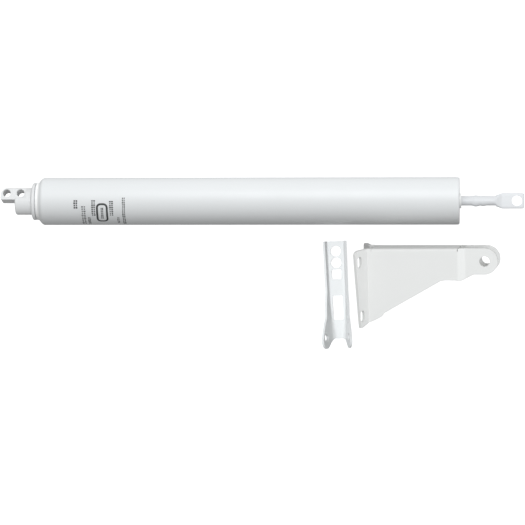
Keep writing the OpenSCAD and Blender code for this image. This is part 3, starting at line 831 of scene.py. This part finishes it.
def buildJamb():
    j = jambSize
    run = math.hypot(j["bend"] - j["tip"][0], j["tip"][1] - j["webMid"])
    lean = (j["bend"] - j["tip"][0]) / run
    half, tall = j["slotHalf"]
    holes = [circlePoints(0, 0, j["hole"], steps=48)]
    for drop, along in j["slots"]:
        y, slotX = j["eye"] - drop, j["bend"] - along * lean
        corners = [(slotX + sx * half * lean, y + sy * tall) for sx, sy in ((-1, -1), (1, -1), (1, 1), (-1, 1))]
        across = []
        for a, b, turnFrom in ((0, 1, math.pi), (2, 3, 0)):
            middle = (corners[a][0] + corners[b][0]) / 2
            end = corners[a][1] - math.copysign(half, corners[a][1] - y)
            for i in range(13):
                t = turnFrom + math.pi * i / 12
                across.append(Vector((middle + half * lean * math.cos(t), end + half * math.sin(t))))
        holes.append(across)
    foldX = steps(j["bend"] - 1.5, j["bend"] + 1.5, 12) + steps(j["step"][0] - 0.9, j["step"][1] + 0.9, 12)
    foldX += steps(j["web"][0], j["web"][1], 12) + [8, 4, 0, -4, -8]
    start = j["eye"] - j["thick"] / 2 - j["bendRadius"]
    foldY = steps(start, start + j["bendRadius"] * math.pi / 2, 6) + steps(-36, 0, 9)
    bm = sheet(jambOutline(), holes, foldX, foldY)
    for v in bm.verts:
        inWeb = j["web"][0] - 0.01 <= v.co.x <= j["web"][1] + 0.01
        v.co = jambShape(v.co.x, v.co.y, inWeb)
    other = bm.copy()
    bmesh.ops.scale(other, vec=(1, 1, -1), verts=other.verts)
    bmesh.ops.reverse_faces(other, faces=other.faces)
    mesh = bpy.data.meshes.new("far")
    other.to_mesh(mesh)
    other.free()
    bm.from_mesh(mesh)
    bpy.data.meshes.remove(mesh)
    bmesh.ops.remove_doubles(bm, verts=bm.verts, dist=0.002)
    bmesh.ops.recalc_face_normals(bm, faces=bm.faces)
    made = pieceFrom(bm, "jambPlates", jambFrame(), finishes["jamb"], 180)
    settle(made, ("SOLIDIFY", {"thickness": j["thick"] * mm, "offset": 0, "use_even_offset": True}))
    settle(made, edgeRound(0.3, 3, 40), evenNormals)
    return keep(made, "jamb_bracket", "jamb_enamel", "jamb_bracket")


buildJamb()
print("jamb bracket built")


# door bracket: a flared channel that turns into a round U at its pin end

doorSize = {"thick": 1.6, "length": 66.6, "corner": (5.64, 5.2, 3.9), "middle": 24.0, "flare": math.radians(20),
            "screwHole": 3.5, "firstHole": 59.8, "holeStep": 7.8, "square": 3.2, "slot": (3.35, 13.7, 29.7),
            "earHole": 2.45, "earCentre": (1.9, 10.53), "earTip": (-0.6, 10.43, 4.8)}


def doorFrame():
    far, up = mountOf("door_screw_hole_1")
    near = mountOf("door_screw_hole_2")[0]
    along = (far - near).normalized()
    origin = far - along * doorSize["firstHole"] * mm - up * doorSize["thick"] / 2 * mm
    return placeFrom(origin, along.cross(up), up)


def doorSection(y):
    # where the flat of the web ends, and the radius of the bend, at a distance from the pin end
    d = doorSize
    far, mid, pin = d["corner"]
    if y > d["middle"]:
        width = mid + (far - mid) * (y - d["middle"]) / (d["length"] - d["middle"])
    else:
        width = pin + (mid - pin) * y / d["middle"]
    radius = 1.3 + 3.0 * (1 - smooth(2, 17, y))
    turn = math.pi / 2 - d["flare"]
    edge = width + d["thick"] / 2 * math.tan(turn / 2)
    return edge - radius * math.tan(turn / 2), radius, turn


def doorShape(u, y):
    side, u = math.copysign(1, u), abs(u)
    flat, radius, turn = doorSection(y)
    middle = doorSize["thick"] / 2
    if u <= flat:
        return Vector((side * u, y, middle))
    a = min((u - flat) / radius, turn)
    rest = max(0, u - flat - radius * turn)
    x = flat + radius * math.sin(a) + rest * math.cos(turn)
    z = middle + radius * (1 - math.cos(a)) + rest * math.sin(turn)
    return Vector((side * x, y, z))


def doorUnfold(y, z):
    # how far out along the sheet a point at height z lies
    flat, radius, turn = doorSection(y)
    rise = z - doorSize["thick"] / 2
    full = radius * (1 - math.cos(turn))
    if rise < full:
        return flat + radius * math.acos(1 - max(0, rise) / radius)
    return flat + radius * turn + (rise - full) / math.sin(turn)


def buildDoor():
    d = doorSize
    ey, ez, er = d["earTip"]
    turns = [math.radians(t) for t in range(200, 69, -10)]
    tipArc = [(ey + er * math.cos(t), ez + er * math.sin(t)) for t in turns]
    top = [tipArc[-1], (9.7, 10.81, 4), (15, 7.43, 6), (24, 5.73, 8), (33.3, 4.23, 8), (d["length"], 4.23)]
    side = [(0.9, 1.0), (0.2, 1.9), (-1.2, 3.8), (-3.2, 6.4)] + tipArc + rounded(top, closed=False, steps=5)[1:]
    right = [Vector((doorUnfold(y, z), y)) for y, z in side]
    edge = doorSection(1.5)[0]
    outline = [Vector((-edge, 0.9)), Vector((edge, 0.9))] + right
    outline += [Vector((-p.x, p.y)) for p in reversed(right)]
    holes = [circlePoints(0, d["firstHole"] - i * d["holeStep"], d["screwHole"], steps=40) for i in (0, 1)]
    squareAt = d["firstHole"] - 2 * d["holeStep"]
    q = d["square"]
    holes.append(rounded([(sx * q, squareAt + sy * q, 0.8) for sx, sy in ((-1, -1), (1, -1), (1, 1), (-1, 1))]))
    w, low, high = d["slot"]
    holes.append(rounded([(-w, low, 0.5), (w, low, 0.5), (w, high, 0.8), (-w, high, 0.8)]))
    hy, hz = d["earCentre"]
    ring = circlePoints(hy, hz, d["earHole"], steps=32)
    for s in (-1, 1):
        holes.append([Vector((s * doorUnfold(p.x, p.y), p.x)) for p in ring])
    foldU = [s * u for u in steps(0.5, 12, 23) for s in (-1, 1)]
    foldY = steps(2, 18, 12) + steps(20, d["length"] - 2, 12)
    bm = sheet(outline, holes, foldU, foldY)
    for v in bm.verts:
        v.co = doorShape(v.co.x, v.co.y)
    bmesh.ops.recalc_face_normals(bm, faces=bm.faces)
    made = pieceFrom(bm, "doorChannel", doorFrame(), finishes["door"], 180)
    settle(made, ("SOLIDIFY", {"thickness": d["thick"] * mm, "offset": 0, "use_even_offset": True}))
    settle(made, edgeRound(0.3, 3, 40), evenNormals)
    return keep(made, "door_bracket", "door_enamel", "door_bracket")


buildDoor()
print("door bracket built")


# floor, light and camera

stageSize = {"floor": 4.0, "distance": 2.01, "yaw": math.radians(4), "width": 0.35175,
             "target": (0.17217, -0.0455, 0.0011)}


def buildStage():
    material, flow = newFinish("paleFloor")
    closeFinish(flow, **{"Base Color": (0.9, 0.9, 0.9, 1), "Roughness": 0.9, "Emission Color": (1, 1, 1, 1),
                         "Emission Strength": 0.75})
    half = stageSize["floor"] / 2
    bm = bmesh.new()
    centre = (cadLow + cadHigh) / 2
    for x, y in ((-1, -1), (1, -1), (1, 1), (-1, 1)):
        bm.verts.new((centre.x + x * half, centre.y + y * half, cadLow.z))
    bm.faces.new(bm.verts)
    mesh = bpy.data.meshes.new("paleFloor")
    bm.to_mesh(mesh)
    bm.free()
    mesh.materials.append(material)
    floor = bpy.data.objects.new("paleFloor", mesh)
    bpy.context.scene.collection.objects.link(floor)
    floor.visible_diffuse = False
    floor.visible_glossy = False


lightSize = {"lean": math.radians(50), "turn": math.radians(6), "even": 0.525, "swing": 0.353,
             "cool": (0.985, 0.995, 1.0), "backdrop": 0.97, "coolBox": (0.95, 0.98, 1.0),
             "boxAway": 1.8, "boxWide": 1.1}
boxSize = {
    "sideBox": {"lean": math.radians(34), "turn": math.radians(10), "power": 15.5,
                "lit": ("tubeShell", "tubePrint", "endCap", "guideBush")},
    "plugBox": {"lean": math.radians(14), "turn": math.radians(0), "power": 12.5,
                "lit": ("plugCasting", "airScrew", "pistonRod")},
    "jambBox": {"lean": math.radians(20), "turn": math.radians(90), "power": 20.5, "lit": ("jambPlates",)},
    "doorBox": {"lean": math.radians(20), "turn": math.radians(-90), "power": 23.0, "lit": ("doorChannel",)},
}


def leanTo(lean, turn):
    # a direction that leans from straight up towards +Y, turned a little towards +X
    return Vector((math.sin(lean) * math.sin(turn), math.sin(lean) * math.cos(turn), math.cos(lean)))


def buildLight():
    # a wide soft glow from above and behind the tube, dark from below and in front
    scene = bpy.context.scene
    scene.view_settings.view_transform = "Standard"
    world = bpy.data.worlds.new("studio")
    scene.world = world
    world.use_nodes = True
    world.node_tree.nodes.clear()
    flow = Flow(world.node_tree)
    s = lightSize
    towards = leanTo(s["lean"], s["turn"])
    where = flow.node("ShaderNodeTexCoord", out="Generated")
    facing = flow.node("ShaderNodeVectorMath", {"operation": "DOT_PRODUCT"}, {0: where, 1: towards}, "Value")
    glow = flow.maths("MAXIMUM", s["even"] + s["swing"] * facing, 0.0)
    glowing = flow.node("ShaderNodeBackground", {}, {"Color": (*s["cool"], 1), "Strength": glow})
    plain = flow.node("ShaderNodeBackground", {}, {"Color": (1, 1, 1, 1), "Strength": s["backdrop"]})
    seen = flow.node("ShaderNodeLightPath", out="Is Camera Ray")
    both = flow.node("ShaderNodeMixShader", {}, {0: seen, 1: glowing, 2: plain})
    flow.node("ShaderNodeOutputWorld", {}, {"Surface": both})
    for name, box in boxSize.items():
        buildBox(name, box)


def buildBox(name, box):
    # a soft box that lights only the pieces named for it
    s = lightSize
    lamp = bpy.data.lights.new(name, "AREA")
    lamp.shape, lamp.size, lamp.energy, lamp.color = "SQUARE", s["boxWide"], box["power"], s["coolBox"]
    made = bpy.data.objects.new(name, lamp)
    away = leanTo(box["lean"], box["turn"])
    made.matrix_world = placeFrom((cadLow + cadHigh) / 2 + away * s["boxAway"], Vector((1, 0, 0)), away)
    bpy.context.scene.collection.objects.link(made)
    lit = bpy.data.collections.new(name + "Lit")
    for piece in box["lit"]:
        lit.objects.link(bpy.data.objects[piece])
    made.light_linking.receiver_collection = lit


def buildCamera():
    s = stageSize
    lens = bpy.data.cameras.new("camera")
    lens.sensor_width = 36
    lens.lens = 36 * s["distance"] / s["width"]
    lens.clip_end = 20
    camera = bpy.data.objects.new("camera", lens)
    back = Vector((math.sin(s["yaw"]), 0, math.cos(s["yaw"])))
    camera.matrix_world = placeFrom(Vector(s["target"]) + back * s["distance"], Vector((1, 0, 0)), back)
    bpy.context.scene.collection.objects.link(camera)
    bpy.context.scene.camera = camera


buildStage()
buildLight()
buildCamera()
print("stage ready")
